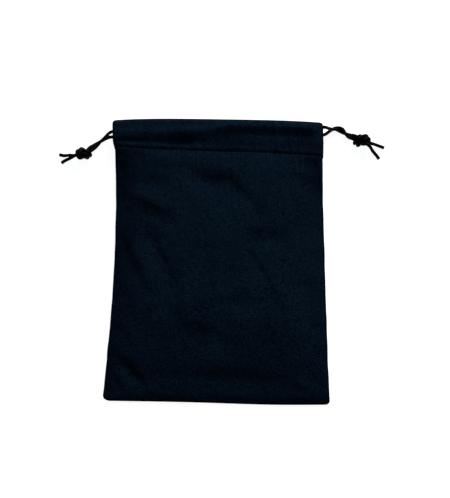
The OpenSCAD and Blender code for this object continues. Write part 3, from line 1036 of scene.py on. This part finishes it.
def build_panels():
    """Both panels, each as a left and a right half. Returns each whole skin with its normals."""
    skins = {}
    for face, name in ((1, "front"), (-1, "back")):
        plain = panel_grid(face)
        stand_out = relief(face, plain)[..., None] * outward_normals(plain, face)
        grid = kept_apart(plain + stand_out, face)
        shaded = outward_normals(grid, face)
        kept = kept_cells(grid, face)
        # Painted shade towards the side seams and the base, carried on the mesh for the material
        nap_grain_and_edge_shade = painted_edge_shade(plain)
        middle = ARC_STEPS + FLAT_STEPS
        for side in (LEFT, RIGHT):
            # The left half goes one step further, just under the right one, so that no light shows between
            cols = slice(0, middle + 2) if side == LEFT else slice(middle, None)
            half, shades = grid[:, cols].copy(), shaded[:, cols]
            if side == LEFT:
                half[:, -1] -= LAP_DEPTH * shades[:, -1]
            cells = kept[:, cols.start : cols.start + half.shape[1] - 1]
            label = f"{name}_panel_{SIDE_NAMES[side]}"
            piece = sheet_mesh(label, half, shades, CLOTH_T, cells, CLOTH, nap_grain_and_edge_shade[:, cols])
            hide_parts(f"{name}_panel", f"{name}_casing", f"{SIDE_NAMES[side]}_casing_end")
            gather(piece, side)
        skins[name] = (grid, shaded)
    return skins


SKINS = build_panels()


# ---- Stitches ----


def stitch_shape(sides=8, rings=7, length=2.3, width=0.56, height=0.42):
    """One stitch along X: a thread that dips into the cloth at both ends."""
    t = np.linspace(-1, 1, rings)
    turn = 2 * np.pi * np.arange(sides) / sides
    swell = np.sqrt(np.maximum(0, 1 - np.abs(t) ** 2.6)) * 0.95 + 0.05
    x = np.repeat(t * length / 2, sides)
    y = (width / 2 * swell[:, None] * np.cos(turn)).ravel()
    z = (height / 2 * swell[:, None] * np.sin(turn) + 0.12 - 0.28 * (t**2)[:, None]).ravel()
    points = np.stack([x, y, z], axis=-1)
    faces = []
    for i in range(rings - 1):
        for k in range(sides):
            j = (k + 1) % sides
            faces.append((i * sides + k, (i + 1) * sides + k, (i + 1) * sides + j, i * sides + j))
    caps = [tuple(range(sides)), tuple(range(len(points) - 1, len(points) - sides - 1, -1))]
    return points, faces, caps


def row_of_stitches(name, places, node, side):
    """Stitches as one piece, at places that are each (point, way along the row, way out of the cloth)."""
    shape, faces, caps = stitch_shape()
    points, every = [], []
    for number, (place, along, out) in enumerate(places):
        across = np.cross(out, along)
        lean = math.radians(7 if number % 2 else -4)
        ahead = math.cos(lean) * along + math.sin(lean) * across
        axes = np.stack([ahead, np.cross(out, ahead), out])
        points.append(shape @ axes + place)
        every += [tuple(i + number * len(shape) for i in f) for f in [*faces, *caps]]
    piece = make_mesh(name, np.vstack(points), every, THREAD)
    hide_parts(node)
    hold(piece, side)


def on_row(grid, normals, row, x):
    """The point, the direction across and the outward normal on a row of a skin at x."""
    xs = grid[row, :, 0]
    place = np.array([np.interp(x, xs, grid[row, :, k]) for k in range(3)])
    ahead = np.array([np.interp(x + 0.8, xs, grid[row, :, k]) for k in range(3)]) - place
    out = unit(np.array([np.interp(x, xs, normals[row, :, k]) for k in range(3)]))
    ahead = unit(ahead - out * (ahead @ out))
    return place, ahead, out


def build_casing_stitches():
    """The hem's stitching on both panels, a row for each half."""
    reach = MOUTH_HALF - 3.2
    for name in ("front", "back"):
        grid, normals = SKINS[name]
        count = int(reach / STITCH_PITCH)
        for side in (LEFT, RIGHT):
            spots = [side * (i + 0.5) * STITCH_PITCH for i in range(count)]
            places = [on_row(grid, normals, STITCH_ROW, x) for x in spots]
            node = f"{name}_casing_stitches"
            row_of_stitches(f"{node}_{SIDE_NAMES[side]}", places, node, side)


build_casing_stitches()


# ---- Seam allowances inside ----

ALLOWANCE_W = 8.0
ALLOWANCE_T = 1.1
ALLOWANCE_LIFT = 0.05  # above the pouch's middle height


def strip(name, line, inward, node, side):
    """Cloth turned in along a seam: a double layer from line inwards, which waves a little."""
    share = np.linspace(0, 1, 6)
    grid = line[:, None] + share[None, :, None] * ALLOWANCE_W * inward
    grid[..., 2] += wobble(line[:, 0], line[:, 1], 9, 4.0)[:, None] * share[None] * 0.25
    normals = surface_normals(grid)
    if normals[..., 2].mean() < 0:
        normals = -normals
    kept = np.ones((grid.shape[0] - 1, grid.shape[1] - 1), bool)
    piece = sheet_mesh(name, grid, normals, ALLOWANCE_T, kept, CLOTH)
    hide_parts(node)
    hold(piece, side)
    return grid, normals


def places_along(grid, normals):
    """Places for stitches along a strip, close to its seam."""
    rows = range(2, len(grid) - 2, 2)
    return [(grid[r, 1], unit(grid[r + 1, 1] - grid[r - 1, 1]), normals[r, 1]) for r in rows]


def build_allowances():
    """The turned-in cloth and the stitches of the side seams and the base's."""
    for side in (LEFT, RIGHT):
        name = SIDE_NAMES[side]
        y = np.linspace(BASE_Y + 8, STITCH_Y - 4, 90)
        x = side * (half_width(side, y) - 1.5 - 0.6 * puffed(y))
        line = np.stack([x, y, middle_height(y) + ALLOWANCE_LIFT], axis=-1)
        inward = np.array([-side, 0, 0.0])
        cloth = strip(f"{name}_side_seam_allowance", line, inward, f"{name}_seam_allowance", side)
        row_of_stitches(f"{name}_side_seam_stitches", places_along(*cloth), f"{name}_seam_stitches", side)
    x = np.linspace(-(BASE_HALF - 14), BASE_HALF - 14, 80)
    line = np.stack([x, 0 * x + BASE_Y + 2.2, 0 * x + EDGE_R + ALLOWANCE_LIFT], axis=-1)
    cloth = strip("base_seam_allowance", line, np.array([0, 1.0, 0]), "bottom_seam_allowance", None)
    row_of_stitches("base_seam_stitches", places_along(*cloth), "bottom_seam_stitches", None)


build_allowances()


# ---- Floor and light ----


def add_floor():
    """White paper under the bag."""
    half = 1.5
    corners = [(-half, -half, 0), (half, -half, 0), (half, half, 0), (-half, half, 0)]
    mesh = bpy.data.meshes.new("floor")
    mesh.from_pydata(corners, [], [(0, 1, 2, 3)])
    mesh.materials.append(floor_material())
    floor = bpy.data.objects.new("floor", mesh)
    bpy.context.scene.collection.objects.link(floor)


def add_key_light():
    """A soft lamp beyond the mouth and a little to the right, aimed at the bag."""
    place = Vector((0.48, 1.52, 0.90))
    data = bpy.data.lights.new("key", "AREA")
    data.energy = 58
    data.size = 0.56
    data.color = 1.0, 0.98, 0.92
    lamp = bpy.data.objects.new("key", data)
    lamp.location = place
    lamp.rotation_euler = (-place).to_track_quat("-Z", "Y").to_euler()
    bpy.context.scene.collection.objects.link(lamp)


def add_world():
    """A studio that is white near the horizon and dim overhead."""
    world = bpy.data.worlds.new("studio")
    world.use_nodes = True
    tree = world.node_tree
    ways = tree.nodes.new("ShaderNodeTexCoord").outputs["Generated"]
    height = tree.nodes.new("ShaderNodeSeparateXYZ")
    tree.links.new(ways, height.inputs["Vector"])
    rise = tree.nodes.new("ShaderNodeMapRange")
    rise.inputs["From Max"].default_value = 0.08
    tree.links.new(height.outputs["Z"], rise.inputs["Value"])
    shade = tree.nodes.new("ShaderNodeMix")
    shade.data_type = "RGBA"
    horizon, overhead = [s for s in shade.inputs if s.type == "RGBA"]
    horizon.default_value, overhead.default_value = (1, 1, 1, 1), (0.20, 0.22, 0.25, 1)
    tree.links.new(rise.outputs["Result"], shade.inputs["Factor"])
    colour = next(s for s in shade.outputs if s.type == "RGBA")
    tree.links.new(colour, tree.nodes["Background"].inputs["Color"])
    bpy.context.scene.world = world


add_floor()
add_key_light()
add_world()
bpy.context.scene.view_settings.view_transform = "Standard"
